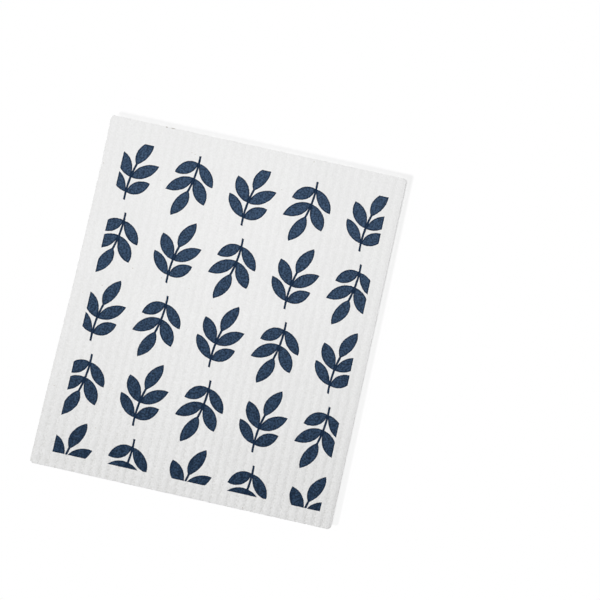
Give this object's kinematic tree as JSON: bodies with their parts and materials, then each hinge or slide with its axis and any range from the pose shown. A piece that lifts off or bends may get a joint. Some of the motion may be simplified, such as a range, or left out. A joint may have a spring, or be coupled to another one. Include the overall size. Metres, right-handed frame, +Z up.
{
  "type": "dishcloth",
  "caption": "Flat rectangular sponge dishcloth, ribbed on both faces, die-cut with small round corners, for wiping and drying in a kitchen.",
  "frame": {"origin": "middle of the underside, on the plane that the crests of the lower ribs lie on", "axes": "+X across the ribs, +Y along the ribs towards the top of the print, +Z up out of the printed face"},
  "size_m": [0.17, 0.2, 0.002],
  "materials": {
    "sponge_cloth": "matt dry cellulose and cotton sponge cloth, off-white, with a navy water-based print on the upper face"
  },
  "bodies": {
    "root": {"dishcloth": "sponge_cloth"}
  },
  "joints": []
}
